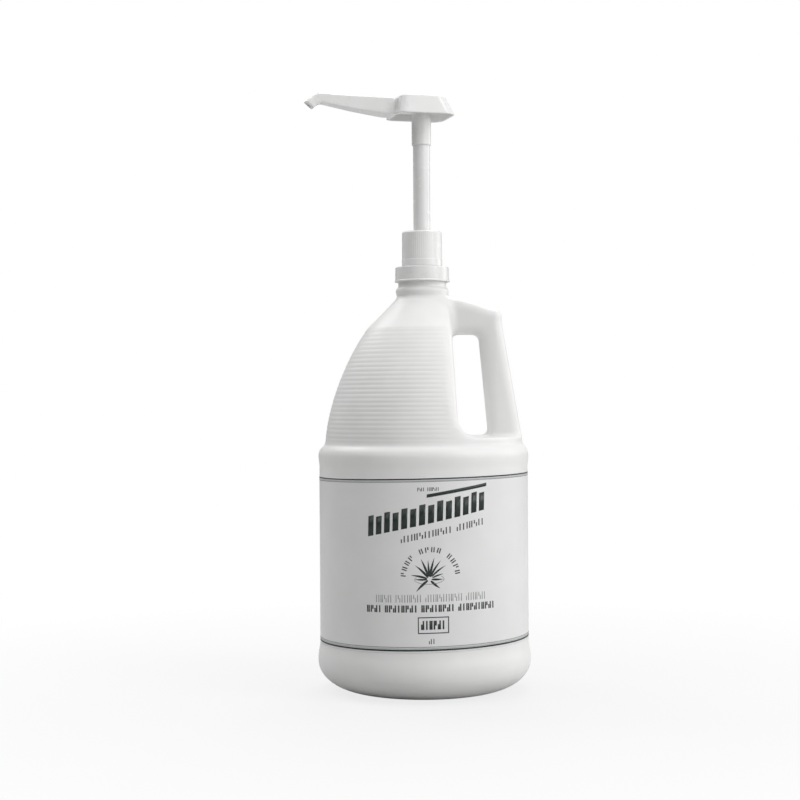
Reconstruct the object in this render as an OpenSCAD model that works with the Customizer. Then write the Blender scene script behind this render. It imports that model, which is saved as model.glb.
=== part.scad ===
// One-gallon handled jug with a screw-on lotion pump. Millimetres, +Z up.
// The origin is the centre of the jug's foot, the handle points along +X and the front faces -Y.

/* [Jug] */
// Largest diameter, at the foot band
foot_band_d = 156.8; // [152:0.2:162]
// Diameter of the label panel
panel_d = 153.6; // [148:0.2:156]
// Top of the label panel, where the shoulder ring begins
panel_top = 165; // [160:1:168]
// Wall thickness of the blow-moulded jug, at the bottom of its rib valleys
jug_wall = 1.1; // [0.8:0.1:1.6]
// Depth of one grip rib on the dome
rib_depth = 0.3; // [0.2:0.1:0.8]
// Number of grip ribs on the dome
rib_count = 26; // [10:1:30]

/* [Handle] */
// Thickness of the handle, front to back
handle_t = 28; // [24:1:32]
// Height of the finger hole's lowest point
hole_bottom = 186; // [184:1:190]
// Height of the finger hole's top edge
hole_top = 261; // [250:1:264]

/* [Neck and closure] */
// Outside diameter of the neck wall
neck_d = 35.2; // [34.8:0.1:35.6]
// Inside diameter of the neck
neck_bore = 30.8; // [30:0.1:31.2]
// Height of the neck's sealing land
neck_top = 307.6; // [307:0.1:308]
// Height of one thread turn, 6 turns to the inch
thread_pitch = 4.233; // [4.0:0.001:4.4]
// Outside diameter of the screw cap
cap_d = 40; // [39.6:0.1:42]
// Height of the screw cap's lower rim
cap_bottom = 299.5; // [299:0.1:300]
// Height of the screw cap's top
cap_top = 311; // [310.8:0.1:311.2]

/* [Pump] */
// Bore of the pump cylinder
bore_d = 24.8; // [24.4:0.1:25]
// Free travel of the plunger
stroke = 62; // [40:1:62]
// Outside diameter of the stem
stem_d = 12.4; // [12:0.1:12.6]
// Bore of the stem
stem_bore = 8.4; // [8:0.1:8.8]
// Outside diameter of the lock collar at its foot
collar_d = 29.9; // [29.4:0.1:31]
// Height of the lock collar's top
collar_top = 336.7; // [335:0.1:338]
// Number of grip ribs round the lock collar
collar_ribs = 60; // [24:1:72]
// Outside diameter of the dip tube
dip_tube_d = 11.2; // [10.8:0.1:11.6]

/* [Head] */
// Turn of the spout from -X towards the front, at rest
spout_turn = 16; // [0:1:45]
// Length from the stem's axis to the spout's tip
spout_reach = 89; // [80:0.5:90]
// Height of the head's lower rim
head_bottom = 422; // [420:0.5:422]
// Height of the head's flat top
head_top = 434.5; // [433:0.1:436]
// Width of the thumb pad at its rim
pad_w = 42; // [36:1:44]
// Outside diameter of the boss under the head
boss_d = 14.5; // [14:0.1:16]
// Height of the boss's lower end
boss_bottom = 400.3; // [400.3:0.1:402]

/* [Hidden] */

$fn = 96;
eps = 0.02;          // keeps cutting tools clear of coincident faces
far = 400;           // length of a cut that runs right through
run_gap = 0.08;      // radial clearance of a running fit
arc_steps = 10;      // straight steps in a drawn quarter arc

// Jug heights and radii
foot_r = foot_band_d / 2;
panel_r = panel_d / 2;
foot_ring_in = 42.5; // the flat foot ring's inner radius
foot_ring_out = 46;  // and its outer radius
push_up = 3.2;       // rise of the floor inside the foot ring
foot_corner_w = foot_r - foot_ring_out; // the rounded heel's radial size
foot_corner_h = 22;  // and its height
band_top = 28;       // top of the foot band's widest part
panel_bottom = 36;
label_top = 158;
label_h = 0.12;      // thickness of the label film
ring_z = 172.3;       // widest height of the shoulder ring
ring_r = panel_r + 0.7;
ring_arc = 9;        // radius of the shoulder ring's rounding
dome_z = 182.4;      // where the dome starts
dome_r = 72.2;       // the dome's radius there
dome_h = 114.6;      // the dome curve's full height
dome_p = 1.53;
dome_q = 0.6;
rib_top = 265.5;     // the ribs end here and the smooth cone begins
cone_top = 284.5;
neck_base_r = 18.5;
neck_base_z = 287;
bead_r = 19.5;       // transfer bead under the cap
bead_z = 292.5;
bead_half = 1.6;
neck_r = neck_d / 2;

// Handle and finger hole
recess_x = 20.8;     // the recess wall's X at its top
recess_lean = 0.045; // how far the wall moves out for each millimetre down
recess_arc = 15.5;   // radius between the recess wall and its floor
recess_top_z = 292;
grip_in_x = 41.7;    // the grip's inner face at the hole's top
grip_in_lean = 0.085;
grip_out_x = 59.7;   // the grip's outer face at the hole's top
grip_out_lean = 0.172;

// Thread
thread_h = 1.1;      // how far the neck's thread stands out
thread_root = 2.0;
thread_crest = 0.9;
thread_turns = 1.2;
thread_steps = 32;   // steps in each turn
neck_thread_z = 301.2;
cap_bore_r = 19;
cap_thread_r = 17.95;
cap_thread_z = 300.8;
cap_thread_start = 119; // turn of the cap thread's lower end, so it lies under the neck's thread

// Pump
bore_r = bore_d / 2;
barrel_r = bore_r + 1.3;
flange_r = 17.3;
flange_h = 0.95;
gasket_h = 1.05;
flange_z = neck_top + gasket_h;
flange_top = flange_z + flange_h;
cap_hole_r = 14;
collar_neck_r = 13.6;
plug_r = bore_r - 0.02;
plug_in_r = 10.6;
plug_bottom = 298;
collar_foot = 311.5;
collar_r = collar_d / 2;
stem_r = stem_d / 2;
guide_h = 5;
wiper_r = 9;
wiper_h = 4.6;
piston_top = 297.7;
piston_bottom = 285.7;
pressed_gap = 23.7;  // room left under the piston at the end of its travel, for the pressed spring
barrel_floor = piston_bottom - stroke - pressed_gap;
piston_r = 11.2;
hub_r = 7.5;
stem_foot = 288.1;
cup_groove_r = 9.6;
cup_z0 = 288.2;
cup_z1 = 295.2;
cup_r = bore_r - run_gap;
tail_r = 8;
tail_bottom = 176;
tail_stop = 184;
pocket_r = 5.2;
seat_z = 186;
seat_r = 3;
seat_h = 3;
inlet_ball_r = 3.97;
inlet_ball_z = 188.66;
cage_stop_z = 195.2;
cage_plate_h = 1.6;
outlet_ball_r = 3.175;
outlet_ball_z = 288.23;
outlet_hole_r = 2.2;
outlet_stop_z = 293.5;
spring_wire_r = 0.8;
spring_r = 9.6;
spring_turns = 10;
spring_steps = 18;   // steps in each turn
spring_sides = 8;

// Head
head_wall = 1.8;
boss_r = boss_d / 2;
stem_top = 418;
channel_r = 2.2;
tip_bore_r = 1.95;
channel_z = 428.5;    // height of the channel over the stem
channel_rise = 4.1;   // it climbs this far on its way to the bend
pad_tail = 21.8;     // from the stem's axis back to the pad's rear rim
pad_nose = 22.3;     // and forward to where the spout takes over
pad_corner = 9;
pad_slope = 6.5;     // the rear face's lean
side_slope = 3.2;    // the side faces' lean
elbow_x = 78.6;      // from the stem's axis to the spout's bend
spout_rise = 1.1;    // the spout's top climbs this far from the pad to its bend
tip_drop = 34;       // the tip points this far below level, degrees

function arc(cx, cz, rx, rz, a0, a1) =
    [for (i = [0:arc_steps]) let (a = a0 + (a1 - a0) * i / arc_steps)
        [cx + rx * cos(a), cz + rz * sin(a)]];

function dome_radius(z) = dome_r * pow(1 - pow((z - dome_z) / dome_h, dome_p), dome_q);

// How full a rib is at this height, zero in each valley and one on each crest
function rib_wave(z) = 0.5 - 0.5 * cos(360 * rib_count * (z - dome_z) / (rib_top - dome_z));

// The dome from the shoulder to the neck, drawn depth further in, with four steps to a rib
function dome_points(inset, depth) =
    let (steps = depth > 0 ? rib_count * 4 : 16)
    [for (i = [0:steps]) let (z = dome_z + (rib_top - dome_z) * i / steps)
        [dome_radius(z) - inset - depth * (1 - rib_wave(z)), z]];

// The jug's outer outline, or with an inset the cavity's outline
function jug_points(inset, depth) = concat(
    inset > 0 ? [[0, push_up + inset], [foot_ring_in - 4, push_up + inset]]
              : [[0, push_up], [foot_ring_in - 4, push_up], [foot_ring_in, 0]],
    arc(foot_ring_out, foot_corner_h, foot_corner_w - inset, foot_corner_h - inset, -90, 0),
    [[foot_r - inset, band_top], [panel_r + 0.4 - inset, panel_bottom - 4]],
    [[panel_r - inset, panel_bottom], [panel_r - inset, panel_top]],
    arc(ring_r - ring_arc, ring_z, ring_arc - inset, ring_arc - inset, 0, 60),
    dome_points(inset, depth),
    [[neck_base_r + 2.5 - inset, cone_top], [neck_base_r - inset, neck_base_z]]);

function neck_points() = [
    [0, neck_base_z - 1],
    [neck_base_r, neck_base_z - 1],
    [neck_base_r, neck_base_z],
    [neck_base_r, bead_z - bead_half],
    [bead_r, bead_z - bead_half / 2],
    [bead_r, bead_z + bead_half / 2],
    [neck_r, bead_z + bead_half],
    [neck_r, neck_top],
    [0, neck_top]];

module turned(points) { rotate_extrude() polygon(points); }

module ring(r_out, r_in, z0, z1) {
    translate([0, 0, z0]) difference() {
        cylinder(r = r_out, h = z1 - z0);
        translate([0, 0, -eps]) cylinder(r = r_in, h = z1 - z0 + 2 * eps);
    }
}

// Stands a flat outline drawn in X and Z up, and gives it a thickness about Y = 0
module upright(thickness) {
    rotate([90, 0, 0]) linear_extrude(thickness, center = true) children();
}

function recess_wall_x(z) = recess_x + recess_lean * (hole_top - z);
function grip_in(z) = grip_in_x + grip_in_lean * (hole_top - z);
function grip_out(z) = grip_out_x + grip_out_lean * (hole_top - z);

// What is cut from the dome beside the handle
module recess_outline(inset) {
    arc_x = recess_wall_x(hole_bottom + recess_arc);
    polygon(concat(
        [[recess_wall_x(recess_top_z) - inset, recess_top_z]],
        arc(arc_x + recess_arc, hole_bottom + recess_arc, recess_arc + inset, recess_arc + inset, 180, 270),
        [[100, hole_bottom - inset], [100, recess_top_z]]));
}

// The handle with the arm that joins it to the neck
module handle_outline(inset) {
    polygon(concat(
        [[0, dome_z - 4], [0, 288.4 - inset]],
        [[17.4, 288.4 - inset], [29, 287 - inset], [39, 284.1 - inset], [47, 281.4 - inset]],
        arc(52.9, 274, 5.4 - inset, 5.4 - inset, 70, 10),
        [[grip_out(270) - inset, 270], [grip_out(188) - inset, 188], [grip_out(188) - inset, dome_z - 4]]));
}

module finger_hole_outline(inset) {
    corner = 5;
    inner_x = grip_in(hole_bottom + corner) + inset;
    polygon(concat(
        arc(recess_wall_x(hole_bottom + recess_arc) + recess_arc, hole_bottom + recess_arc,
            recess_arc + inset, recess_arc + inset, 180, 270),
        arc(inner_x - corner - inset, hole_bottom + corner, corner + inset, corner + inset, -90, 0),
        arc(grip_in(hole_top) - corner, hole_top - corner, corner + inset, corner + inset, 0, 90),
        [[recess_wall_x(hole_top) - inset, hole_top + inset]]));
}

module jug_form(inset, depth) {
    difference() {
        turned(concat(jug_points(inset, depth), [[0, neck_base_z]]));
        upright(far) recess_outline(inset);
    }
    difference() {
        upright(handle_t - 2 * inset) handle_outline(inset);
        upright(far) finger_hole_outline(inset);
    }
}

// A trapezoid ridge that climbs one pitch a turn, from radius root_r to radius crest_r
module thread(root_r, crest_r, z, start) {
    steps = round(thread_turns * thread_steps);
    sunk = sign(crest_r - root_r) * 0.35;
    points = [for (i = [0:steps])
        let (turn = i / thread_steps,
             a = start + 360 * turn,
             fade = min(1, (i + 0.5) / 4, (steps - i + 0.5) / 4),
             tip_r = root_r + (crest_r - root_r) * fade,
             zc = z + thread_pitch * turn)
        for (p = [[root_r - sunk, -thread_root / 2], [tip_r, -thread_crest / 2],
                  [tip_r, thread_crest / 2], [root_r - sunk, thread_root / 2]])
            [p[0] * cos(a), p[0] * sin(a), zc + p[1]]];
    swept(points, steps, 4, crest_r > root_r);
}

// Joins rings of points, each with the same number of sides, into one closed solid
module swept(points, steps, sides, flip) {
    walls = [for (i = [0:steps - 1]) for (k = [0:sides - 1])
        let (a = i * sides + k, b = i * sides + (k + 1) % sides)
            flip ? [a, b, b + sides, a + sides] : [a, a + sides, b + sides, b]];
    first = [for (k = [0:sides - 1]) k];
    last = [for (k = [0:sides - 1]) steps * sides + k];
    function turned_over(face) = [for (k = [len(face) - 1:-1:0]) face[k]];
    polyhedron(points, concat(walls, flip ? [turned_over(first), last] : [first, turned_over(last)]));
}

module jug() {
    color("whitesmoke") difference() {
        union() {
            jug_form(0, rib_depth);
            turned(neck_points());
            thread(neck_r, neck_r + thread_h, neck_thread_z, 0);
        }
        jug_form(jug_wall + rib_depth, 0);
        translate([0, 0, cone_top - 4]) cylinder(r = neck_bore / 2, h = 40);
    }
}

module label() {
    color("white") ring(panel_r + label_h, panel_r, panel_bottom + 0.2, label_top);
}

module neck_gasket() {
    color("lightgray") ring(flange_r, barrel_r + 1.2, neck_top, flange_z);
}

module screw_cap() {
    color("white") difference() {
        union() {
            translate([0, 0, cap_bottom]) cylinder(r = cap_d / 2, h = cap_top - cap_bottom - 1);
            translate([0, 0, cap_top - 1]) cylinder(r1 = cap_d / 2, r2 = cap_d / 2 - 0.8, h = 1);
        }
        difference() {
            translate([0, 0, cap_bottom - 1]) cylinder(r = cap_bore_r, h = flange_top + 0.1 - cap_bottom + 1);
            thread(cap_bore_r, cap_thread_r, cap_thread_z, cap_thread_start);
        }
        translate([0, 0, cap_top - 5]) cylinder(r = cap_hole_r, h = 10);
    }
}

module lock_collar() {
    rib_r = 0.45;
    shoulder = 2.5;
    color("white") difference() {
        union() {
            turned(concat(
                [[0, plug_bottom], [plug_r, plug_bottom], [plug_r, flange_top]],
                [[collar_neck_r, flange_top], [collar_neck_r, collar_foot], [collar_r, collar_foot]],
                [[collar_r, collar_foot + 4.4], [collar_r - 0.5, collar_foot + 4.9]],
                arc(collar_r - 0.6 - shoulder, collar_top - shoulder, shoulder, shoulder, 0, 90),
                [[0, collar_top]]));
            for (i = [0:collar_ribs - 1]) rotate([0, 0, 360 * i / collar_ribs])
                translate([collar_r - 0.6, 0, collar_foot + 4]) cylinder(r = rib_r, h = 18.4);
        }
        translate([0, 0, plug_bottom - 1])
            cylinder(r = plug_in_r, h = collar_top - guide_h - wiper_h - 1 - plug_bottom + 1);
        translate([0, 0, collar_top - guide_h - wiper_h - 2]) cylinder(r = wiper_r, h = wiper_h + 2);
        cylinder(r = stem_r + run_gap, h = far);
    }
}

module stem_wiper() {
    top = collar_top - guide_h;
    color("gainsboro") turned([
        [stem_r + run_gap, top - wiper_h],
        [wiper_r, top - wiper_h],
        [wiper_r, top],
        [stem_r + run_gap, top],
        [stem_r + run_gap, top - 1.2],
        [stem_r + 1, top - 1.8],
        [stem_r + 1, top - 3],
        [stem_r + run_gap, top - 3.6]]);
}

module pump_housing() {
    color("ghostwhite") difference() {
        union() {
            translate([0, 0, barrel_floor - 2.4]) cylinder(r = barrel_r, h = flange_top - barrel_floor + 2.4);
            translate([0, 0, flange_z]) cylinder(r = flange_r, h = flange_h);
            translate([0, 0, tail_bottom]) cylinder(r = tail_r, h = barrel_floor - tail_bottom);
        }
        translate([0, 0, barrel_floor]) cylinder(r = bore_r, h = far);
        translate([0, 0, seat_z + seat_h]) cylinder(r = pocket_r, h = 40);
        translate([0, 0, seat_z]) cylinder(r1 = seat_r, r2 = pocket_r, h = seat_h);
        translate([0, 0, tail_stop - 1]) cylinder(r = seat_r, h = 10);
        translate([0, 0, tail_bottom - 1]) cylinder(r = dip_tube_d / 2, h = tail_stop - tail_bottom + 1);
        // Air comes in through this hole as the lotion leaves
        translate([0, 0, plug_bottom - 3]) rotate([90, 0, 0]) cylinder(r = 0.9, h = 40, $fn = 32);
    }
}

module inlet_cage() {
    locator_r = spring_r - spring_wire_r - 0.6;
    color("white") difference() {
        union() {
            translate([0, 0, barrel_floor]) cylinder(r = bore_r - 0.05, h = cage_plate_h);
            translate([0, 0, barrel_floor]) cylinder(r = locator_r, h = cage_plate_h + 2);
            translate([0, 0, cage_stop_z]) cylinder(r = pocket_r - 0.05, h = barrel_floor - cage_stop_z);
        }
        for (i = [0:4]) rotate([0, 0, 72 * i]) translate([3.3, 0, 0]) cylinder(r = 1.25, h = far, $fn = 32);
    }
}

module inlet_ball() {
    color("silver") translate([0, 0, inlet_ball_z]) sphere(r = inlet_ball_r);
}

module dip_tube() {
    color("aliceblue") ring(dip_tube_d / 2, dip_tube_d / 2 - 1.3, 8, tail_stop);
}

// The turns close up at both ends, where the wire lies flat
module spring() {
    z0 = barrel_floor + cage_plate_h + spring_wire_r;
    z1 = piston_bottom - spring_wire_r;
    closed = 2 * spring_wire_r;
    steps = spring_turns * spring_steps;
    function rise(t) = t < 1 ? closed * t
        : t > spring_turns - 1 ? z1 - z0 - closed * (spring_turns - t)
        : closed + (z1 - z0 - 2 * closed) * (t - 1) / (spring_turns - 2);
    points = [for (i = [0:steps])
        let (turn = i / spring_steps, a = 360 * turn, z = z0 + rise(turn))
        for (k = [0:spring_sides - 1])
        let (b = 360 * k / spring_sides, r = spring_r + spring_wire_r * cos(b))
            [r * cos(a), r * sin(a), z + spring_wire_r * sin(b)]];
    color("silver") swept(points, steps, spring_sides, true);
}

module piston() {
    bead = 0.45;
    socket_r = stem_r + run_gap;
    cone_h = stem_foot - piston_bottom - 0.3;
    color("white") turned([
        [outlet_hole_r, piston_bottom - 1.5],
        [hub_r, piston_bottom - 1.5],
        [hub_r, piston_bottom],
        [piston_r, piston_bottom],
        [piston_r, cup_z0],
        [cup_groove_r, cup_z0],
        [cup_groove_r, cup_z1],
        [piston_r, cup_z1],
        [piston_r, piston_top],
        [socket_r + 0.6, piston_top],
        [socket_r, piston_top - 0.6],
        [socket_r, stem_foot + 4.1],
        [socket_r - bead + 0.1, stem_foot + 4],
        [socket_r - bead + 0.1, stem_foot + 3],
        [socket_r, stem_foot + 2.9],
        [socket_r, stem_foot - 0.1],
        [stem_bore / 2, stem_foot - 0.1],
        [outlet_hole_r, stem_foot - 0.1 - cone_h]]);
}

module piston_cup() {
    lip = 1.1;
    color("gainsboro") turned([
        [cup_groove_r, cup_z0 + eps],
        [piston_r - 0.2, cup_z0 + eps],
        [piston_r - 0.2, cup_z0 + 1.4],
        [cup_r - lip, cup_z0 + 1.4],
        [cup_r - lip, cup_z0 - 1.2],
        [cup_r, cup_z0 - 1.2],
        [cup_r, cup_z1 + 1.2],
        [cup_r - lip, cup_z1 + 1.2],
        [cup_r - lip, cup_z1 - 1.4],
        [piston_r - 0.2, cup_z1 - 1.4],
        [piston_r - 0.2, cup_z1 - eps],
        [cup_groove_r, cup_z1 - eps]]);
}

module outlet_ball() {
    color("silver") translate([0, 0, outlet_ball_z]) sphere(r = outlet_ball_r);
}

module stem() {
    groove = 0.55;
    stop_w = 1.4;
    color("white") difference() {
        ring(stem_r, stem_bore / 2, stem_foot, stem_top);
        ring(stem_r + 1, stem_r - groove, stem_foot + 2.5, stem_foot + 4.5);
    }
    color("white") translate([-stem_bore / 2 - 0.5, -stop_w / 2, outlet_stop_z])
        cube([stem_bore + 1, stop_w, 2]);
}

// The pad is the space shared by its plan, its side view and its end view
module pad_form(inset) {
    side = pad_w / 2 - inset;
    top = head_top - inset;
    rear = pad_tail - inset;
    nose = pad_nose - inset;
    corner = pad_corner - inset;
    intersection() {
        translate([0, 0, head_bottom - (inset > 0 ? 1 : 0)]) linear_extrude(20) union() {
            translate([-nose + corner, -side]) square([rear + nose - 2 * corner, 2 * side]);
            translate([-nose, -side + corner]) square([rear + nose, 2 * (side - corner)]);
            for (x = [-nose + corner, rear - corner], y = [-1, 1])
                translate([x, y * (side - corner)]) circle(r = corner);
        }
        upright(100) polygon([
            [-nose - 1, head_bottom - 2],
            [rear, head_bottom - 2],
            [rear, head_bottom],
            [rear - pad_slope, top],
            [-nose + 3.5, top],
            [-nose, head_bottom]]);
        rotate([90, 0, 90]) linear_extrude(100, center = true) polygon([
            [-side, head_bottom - 2],
            [side, head_bottom - 2],
            [side, head_bottom],
            [side - side_slope, top],
            [-side + side_slope, top],
            [-side, head_bottom]]);
    }
}

// The spout is the space shared by its side view and its plan, and points along -X before it is turned
module spout_form() {
    tip_x = spout_reach;
    intersection() {
        upright(100) polygon([
            [-8, head_bottom + 0.2],
            [-8, head_top - 0.4],
            [-20, head_top - 0.4],
            [-elbow_x, head_top + spout_rise],
            [-tip_x, head_top + spout_rise - (tip_x - elbow_x) * tan(tip_drop)],
            [-tip_x + 5.5, head_top - 9.6],
            [-elbow_x + 1.9, head_top - 5.8],
            [-elbow_x + 5.8, head_top - 6],
            [-28, head_bottom + 0.2]]);
        linear_extrude(far * 2) polygon([
            [-5, -12],
            [-20, -11],
            [-elbow_x + 4, -3.6],
            [-tip_x - 2, -3.4],
            [-tip_x - 2, 3.4],
            [-elbow_x + 4, 3.6],
            [-20, 11],
            [-5, 12]]);
    }
}

module pump_head() {
    outlet_x = elbow_x - 1.5;
    lean = atan(channel_rise / outlet_x);
    color("white") rotate([0, 0, spout_turn]) difference() {
        union() {
            difference() {
                pad_form(0);
                pad_form(head_wall);
            }
            spout_form();
            translate([0, 0, boss_bottom]) cylinder(r = boss_r, h = head_top - head_wall - boss_bottom + 1);
        }
        translate([0, 0, boss_bottom - 1]) cylinder(r = stem_r, h = stem_top - boss_bottom + 1);
        translate([0, 0, stem_top - 1]) cylinder(r = stem_bore / 2, h = channel_z - stem_top + 1);
        translate([0, 0, channel_z]) rotate([0, -90 + lean, 0]) cylinder(r = channel_r, h = outlet_x / cos(lean));
        translate([-outlet_x, 0, channel_z + channel_rise]) {
            sphere(r = channel_r + 0.1);
            rotate([0, -90 - tip_drop, 0]) cylinder(r = tip_bore_r, h = 20);
        }
    }
}

jug();
label();
neck_gasket();
screw_cap();
lock_collar();
stem_wiper();
pump_housing();
inlet_cage();
inlet_ball();
dip_tube();
spring();
piston();
piston_cup();
outlet_ball();
stem();
pump_head();
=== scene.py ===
"""Looks for a one-gallon handled jug with a screw-on lotion pump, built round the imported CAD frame.

Mesh code works in millimetres in the row frame: the foot's centre is the origin, the handle points along +X
and the front faces -Y. make_piece() turns millimetres into metres.
"""

import math

import bpy
import numpy as np
from mathutils import Matrix, Vector


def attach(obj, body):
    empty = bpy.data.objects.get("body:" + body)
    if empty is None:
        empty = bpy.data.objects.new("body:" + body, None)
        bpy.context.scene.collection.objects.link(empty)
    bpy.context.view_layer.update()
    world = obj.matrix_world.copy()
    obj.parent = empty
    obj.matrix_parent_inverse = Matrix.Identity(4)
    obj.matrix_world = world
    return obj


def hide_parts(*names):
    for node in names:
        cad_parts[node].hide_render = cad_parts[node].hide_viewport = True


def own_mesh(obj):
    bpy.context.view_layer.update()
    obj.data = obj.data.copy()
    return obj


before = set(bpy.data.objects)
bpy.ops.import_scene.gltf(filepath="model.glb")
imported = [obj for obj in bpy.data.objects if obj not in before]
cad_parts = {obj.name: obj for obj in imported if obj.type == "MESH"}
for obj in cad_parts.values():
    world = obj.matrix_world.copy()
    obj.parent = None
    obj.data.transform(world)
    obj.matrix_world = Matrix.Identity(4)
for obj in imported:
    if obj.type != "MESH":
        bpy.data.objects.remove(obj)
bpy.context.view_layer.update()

MM = 0.001


# ---------------------------------------------------------------- outlines and fields


def arc(cx, cz, rx, rz, start, end, steps):
    """Points of an elliptical arc, angles in degrees."""
    a = np.radians(np.linspace(start, end, steps))
    return [(cx + rx * math.cos(t), cz + rz * math.sin(t)) for t in a]


def rounded(corners, steps=5):
    """A closed outline from (x, z, radius) corners, each rounded by its own radius."""
    out = []
    n = len(corners)
    for i, (x, z, radius) in enumerate(corners):
        here = np.array([x, z])
        before = np.array(corners[i - 1][:2]) - here
        after = np.array(corners[(i + 1) % n][:2]) - here
        lb, la = np.linalg.norm(before), np.linalg.norm(after)
        ub, ua = before / lb, after / la
        half = math.acos(max(-1.0, min(1.0, float(ub @ ua)))) / 2
        if radius <= 0 or half > 1.55:
            out.append((x, z))
            continue
        reach = min(radius / math.tan(half), lb * 0.49, la * 0.49)
        radius = reach * math.tan(half)
        middle = here + (ub + ua) / np.linalg.norm(ub + ua) * radius / math.sin(half)
        p0, p1 = here + ub * reach - middle, here + ua * reach - middle
        a0, a1 = math.atan2(p0[1], p0[0]), math.atan2(p1[1], p1[0])
        turn = (a1 - a0 + math.pi) % (2 * math.pi) - math.pi
        for k in range(steps + 1):
            a = a0 + turn * k / steps
            out.append((middle[0] + radius * math.cos(a), middle[1] + radius * math.sin(a)))
    return out


def outline_distance(x, z, points):
    """Signed distance to a closed outline, negative inside."""
    best = np.full(x.shape, 1e12)
    inside = np.zeros(x.shape, bool)
    for (ax, az), (bx, bz) in zip(points, points[1:] + points[:1]):
        ex, ez = bx - ax, bz - az
        length2 = ex * ex + ez * ez
        if length2 < 1e-12:
            continue
        t = np.clip(((x - ax) * ex + (z - az) * ez) / length2, 0, 1)
        best = np.minimum(best, (x - ax - t * ex) ** 2 + (z - az - t * ez) ** 2)
        if ez != 0:
            inside ^= ((az > z) != (bz > z)) & (x < ax + (z - az) * ex / ez)
    return np.where(inside, -1.0, 1.0) * np.sqrt(best)


def join(a, b, soft):
    """The union of two fields, with a fillet about soft wide."""
    h = np.clip(0.5 + 0.5 * (b - a) / soft, 0, 1)
    return b * (1 - h) + a * h - soft * h * (1 - h)


def common(a, b, soft):
    """The space shared by two fields, with its edges rounded."""
    return -join(-a, -b, soft)


def overlap(*fields):
    """The space shared by fields, with its edges left sharp."""
    out = fields[0]
    for field in fields[1:]:
        out = np.maximum(out, field)
    return out


def ease(low, high, value):
    """Rises smoothly from 0 at low to 1 at high."""
    t = np.clip((value - low) / (high - low), 0, 1)
    return t * t * (3 - 2 * t)


def grid_axis(*runs):
    """Node positions from (start, end, spacing) runs that follow one another."""
    out = [runs[0][0]]
    for start, end, spacing in runs:
        n = max(1, round((end - start) / spacing))
        out += list(start + (end - start) * np.arange(1, n + 1) / n)
    return np.array(out, float)


def surface(field, axes, period=None):
    """Meshes the surface where a field on a grid changes sign, one vertex in each cell that it crosses.

    Returns positions on the three axes, quads whose normals point out of the negative side, and each
    vertex's cell. With a period, the first axis closes on itself after it."""
    wrap = period is not None
    n = field.shape
    cells = np.array([n[0] if wrap else n[0] - 1, n[1] - 1, n[2] - 1])
    ids, offsets, quads = [], [], []
    for a in range(3):
        if a == 0 and wrap:
            low, high = field, np.roll(field, -1, 0)
        else:
            low = field[tuple(slice(0, -1) if d == a else slice(None) for d in range(3))]
            high = field[tuple(slice(1, None) if d == a else slice(None) for d in range(3))]
        at = np.array(np.nonzero((low < 0) != (high < 0)))
        f0, f1 = low[tuple(at)], high[tuple(at)]
        point = at.astype(float)
        point[a] += f0 / (f0 - f1)
        b, c = (a + 1) % 3, (a + 2) % 3
        around, good = [], np.ones(at.shape[1], bool)
        for db, dc in ((-1, -1), (0, -1), (0, 0), (-1, 0)):
            cell = at.copy()
            cell[b] += db
            cell[c] += dc
            offset = point - cell
            ok = np.ones(at.shape[1], bool)
            for d in range(3):
                if d == 0 and wrap:
                    cell[0] %= cells[0]
                else:
                    ok &= (cell[d] >= 0) & (cell[d] < cells[d])
            number = (cell[0] * cells[1] + cell[1]) * cells[2] + cell[2]
            ids.append(number[ok])
            offsets.append(offset[:, ok])
            around.append(number)
            good &= ok
        quad = np.array(around)[:, good].T
        flip = f0[good] > 0
        quad[flip] = quad[flip][:, ::-1]
        quads.append(quad)
    ids, offsets, quads = np.concatenate(ids), np.concatenate(offsets, 1), np.concatenate(quads)
    used, where = np.unique(ids, return_inverse=True)
    count = np.bincount(where)
    cell = np.array([used // (cells[1] * cells[2]), used // cells[2] % cells[1], used % cells[2]])
    verts = []
    for d in range(3):
        p = cell[d] + np.bincount(where, offsets[d]) / count
        nodes = np.append(axes[d], axes[d][0] + period) if d == 0 and wrap else axes[d]
        verts.append(np.interp(p, np.arange(len(nodes)), nodes))
    return np.array(verts).T, np.searchsorted(used, quads), cell.T


def make_piece(name, verts, faces, material=None):
    """A Blender object from millimetre points and faces, shaded smooth."""
    mesh = bpy.data.meshes.new(name)
    mesh.from_pydata((np.asarray(verts, float) * MM).tolist(), [], [list(map(int, f)) for f in faces])
    mesh.validate()
    mesh.update()
    mesh.polygons.foreach_set("use_smooth", [True] * len(mesh.polygons))
    piece = bpy.data.objects.new(name, mesh)
    bpy.context.scene.collection.objects.link(piece)
    if material:
        mesh.materials.append(material)
    return piece


def merged(*parts):
    """One list of points and faces from several (points, faces) pairs."""
    verts, faces, base = [], [], 0
    for v, f in parts:
        verts.append(np.asarray(v, float).reshape(-1, 3))
        faces += [[int(i) + base for i in face] for face in f]
        base += len(verts[-1])
    return np.concatenate(verts), faces


def turned(outline, sides, swell=None):
    """Revolves a closed (r, z) outline, listed anticlockwise, about Z.

    swell(angle, z, r) adds to the radius."""
    a = np.arange(sides) * 2 * math.pi / sides
    r = np.array([p[0] for p in outline])[None, :] + np.zeros((sides, 1))
    z = np.array([p[1] for p in outline])[None, :] + np.zeros((sides, 1))
    if swell:
        r = r + swell(a[:, None] + 0 * r, z, r)
    verts = np.stack([r * np.cos(a)[:, None], r * np.sin(a)[:, None], z], -1).reshape(-1, 3)
    n = len(outline)
    faces = []
    for i in range(sides):
        j = (i + 1) % sides
        for k in range(n):
            m = (k + 1) % n
            faces.append([i * n + k, j * n + k, j * n + m, i * n + m])
    return verts, faces


THREAD_PITCH = 4.233


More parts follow.
